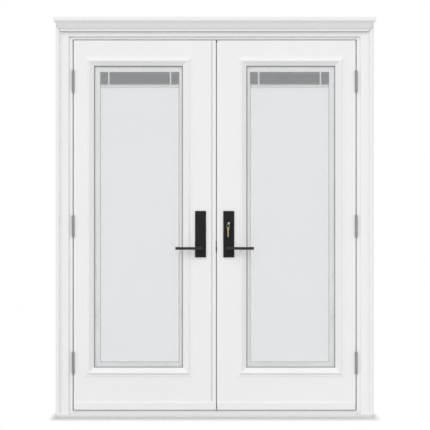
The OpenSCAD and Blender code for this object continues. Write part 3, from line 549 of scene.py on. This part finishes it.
def screw_head(vertices, faces, centre, out):
    """A low domed head with a cross recess, its face along X."""
    first = len(vertices)
    for radius, rise in SCREW_RINGS:
        for k in range(SCREW_SIDES):
            angle = 2 * math.pi * k / SCREW_SIDES
            inner = radius == SCREW_RINGS[-1][0] and k % CROSS_ARM_SIDES in CROSS_NOTCH
            reach = radius * (CROSS_REACH if inner else 1.0)
            vertices.append((centre[0] + out * rise, centre[1] + reach * math.cos(angle),
                             centre[2] + reach * math.sin(angle)))
    for r in range(len(SCREW_RINGS) - 1):
        for k in range(SCREW_SIDES):
            a, b = first + r * SCREW_SIDES + k, first + r * SCREW_SIDES + (k + 1) % SCREW_SIDES
            faces.append((a, b, b + SCREW_SIDES, a + SCREW_SIDES))
    sunk = len(vertices)
    vertices.append((centre[0] + out * CROSS_FLOOR, centre[1], centre[2]))
    last = first + (len(SCREW_RINGS) - 1) * SCREW_SIDES
    faces += [(last + k, last + (k + 1) % SCREW_SIDES, sunk) for k in range(SCREW_SIDES)]
    faces.append([first + k for k in reversed(range(SCREW_SIDES))])


def hinge_screws(name, node, body, side, faces_out):
    """Screw heads on the free face of each hinge leaf of a node, on one side of the door."""
    points = [v.co for v in nodes[node].data.vertices if v.co.x * side > 0]
    heights = sorted({round(p.z, 4) for p in points})
    groups = []
    for z in heights:
        if not groups or z - groups[-1][-1] > HINGE_APART:
            groups.append([z])
        groups[-1].append(z)
    plate = [p.x for p in points if p.y > KNUCKLE_DEPTH]
    face = min(plate) if faces_out < 0 else max(plate)
    depth = max(p.y for p in points)
    vertices, faces = [], []
    for group in groups:
        middle, height = (group[0] + group[-1]) / 2, group[-1] - group[0]
        for k, row in enumerate(SCREW_ROWS):
            y = depth - SCREW_COLUMNS[k % 2]
            screw_head(vertices, faces, (face, y, middle + row * height), faces_out)
    piece = mesh_piece(name, vertices, faces, bolt_steel)
    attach(piece, body)


hinge_screws("left_jamb_hinge_screws", "jamb_hinge_leaves", "frame", -1, 1)
hinge_screws("right_jamb_hinge_screws", "jamb_hinge_leaves", "frame", 1, -1)
hinge_screws("passive_hinge_screws", "passive_hinge_leaves", "passive_leaf", -1, -1)
hinge_screws("active_hinge_screws", "active_hinge_leaves", "active_leaf", 1, 1)


# Camera: level, in front of the meeting stiles, at the photograph's framing of 430 by 430

CAMERA_DISTANCE = 18.0
CAMERA_X = 0.002
CAMERA_HEIGHT = 1.099
VIEW_WIDTH = 2.348
SENSOR_MM = 36
CLIP_END = 200

camera = bpy.data.objects.new("camera", bpy.data.cameras.new("camera"))
scene.collection.objects.link(camera)
camera.location = (CAMERA_X, -CAMERA_DISTANCE, CAMERA_HEIGHT)
camera.rotation_euler = (math.pi / 2, 0, 0)
camera.data.sensor_width = SENSOR_MM
camera.data.lens = SENSOR_MM * CAMERA_DISTANCE / VIEW_WIDTH
camera.data.clip_end = CLIP_END
scene.camera = camera


# Stage and light

WORLD_LIGHT = 0.64
FLOOR_SIZE = 40.0
# Grey tone of the floor near the sill, and the reach over which it fades to white glow: a painted shadow
# patch round the foot, over the real shadow the floor catches
FLOOR_SHADE_TONE = 0.6
FLOOR_SHADE_REACH = 0.34
FLOOR_SPREAD = (7, 1, 1)
FLOOR_NEAR_WHITE = 0.1
# Direction that each light comes from, its spread in degrees and its strength
KEY_LIGHT = ((-0.16, -0.85, 0.5), 50, 1.33)
REAR_LIGHT = ((0.3, 0.75, 0.7), 60, 0.8)


def seen_directly(tree):
    """One where the camera sees a surface, also in a mirror or through glass, and zero elsewhere."""
    path = tree.nodes.new("ShaderNodeLightPath")
    total = path.outputs["Is Camera Ray"]
    for ray in ("Is Glossy Ray", "Is Transmission Ray"):
        both = tree.nodes.new("ShaderNodeMath")
        both.operation = "MAXIMUM"
        tree.links.new(total, both.inputs[0])
        tree.links.new(path.outputs[ray], both.inputs[1])
        total = both.outputs["Value"]
    return total


def white_world():
    """White where it is seen, a softer grey as a light."""
    world = bpy.data.worlds.new("studio")
    world.use_nodes = True
    tree = world.node_tree
    tree.nodes["Background"].inputs["Color"].default_value = (1, 1, 1, 1)
    strength = tree.nodes.new("ShaderNodeMapRange")
    strength.inputs["To Min"].default_value = WORLD_LIGHT
    strength.inputs["To Max"].default_value = 1.0
    tree.links.new(seen_directly(tree), strength.inputs["Value"])
    tree.links.new(strength.outputs["Result"], tree.nodes["Background"].inputs["Strength"])
    scene.world = world


def white_floor():
    """Floor with a painted shadow patch round the foot: near the sill a grey lit surface that also keeps the
    real shadow, further out white glow that melts into the white background.
    """
    half = FLOOR_SIZE / 2
    floor = mesh_piece("floor", [(-half, -half, 0), (half, -half, 0), (half, half, 0), (-half, half, 0)],
                       [(0, 1, 2, 3)], bpy.data.materials.new("floor_white"))
    made = floor.data.materials[0]
    made.use_nodes = True
    tree = made.node_tree
    shader = tree.nodes["Principled BSDF"]
    shader.inputs["Base Color"].default_value = (FLOOR_SHADE_TONE, FLOOR_SHADE_TONE, FLOOR_SHADE_TONE, 1)
    shader.inputs["Roughness"].default_value = 1.0
    shader.inputs["Specular IOR Level"].default_value = 0.0
    glow = tree.nodes.new("ShaderNodeEmission")
    mix = tree.nodes.new("ShaderNodeMixShader")
    place = tree.nodes.new("ShaderNodeTexCoord").outputs["Object"]
    foot_low, foot_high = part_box("sill")
    half_foot = (foot_high.x, max(-foot_low.y, foot_high.y), 0)
    for operation, amount in (("ABSOLUTE", None), ("SUBTRACT", half_foot), ("MAXIMUM", (0, 0, 0)),
                              ("MULTIPLY", FLOOR_SPREAD)):
        step = tree.nodes.new("ShaderNodeVectorMath")
        step.operation = operation
        tree.links.new(place, step.inputs[0])
        if amount:
            step.inputs[1].default_value = amount
        place = step.outputs["Vector"]
    reach = tree.nodes.new("ShaderNodeVectorMath")
    reach.operation = "LENGTH"
    # The white glow's share falls towards the sill: the painted shadow patch
    fade = tree.nodes.new("ShaderNodeMapRange")
    fade.interpolation_type = "SMOOTHSTEP"
    fade.inputs["From Max"].default_value = FLOOR_SHADE_REACH
    fade.inputs["To Min"].default_value = FLOOR_NEAR_WHITE
    fade.inputs["To Max"].default_value = 1.0
    share = tree.nodes.new("ShaderNodeMath")
    share.operation = "MULTIPLY"
    tree.links.new(place, reach.inputs[0])
    tree.links.new(reach.outputs["Value"], fade.inputs["Value"])
    tree.links.new(fade.outputs["Result"], share.inputs[1])
    tree.links.new(seen_directly(tree), share.inputs[0])
    tree.links.new(share.outputs["Value"], mix.inputs["Fac"])
    tree.links.new(shader.outputs["BSDF"], mix.inputs[1])
    tree.links.new(glow.outputs["Emission"], mix.inputs[2])
    tree.links.new(mix.outputs["Shader"], tree.nodes["Material Output"].inputs["Surface"])


def soft_sun(name, source, spread, strength):
    """A wide, even light that comes from that direction."""
    lamp = bpy.data.objects.new(name, bpy.data.lights.new(name, "SUN"))
    lamp.data.angle = math.radians(spread)
    lamp.data.energy = strength
    lamp.rotation_euler = (-Vector(source)).to_track_quat("-Z", "Y").to_euler()
    scene.collection.objects.link(lamp)


white_world()
white_floor()
soft_sun("key", *KEY_LIGHT)
soft_sun("rear", *REAR_LIGHT)
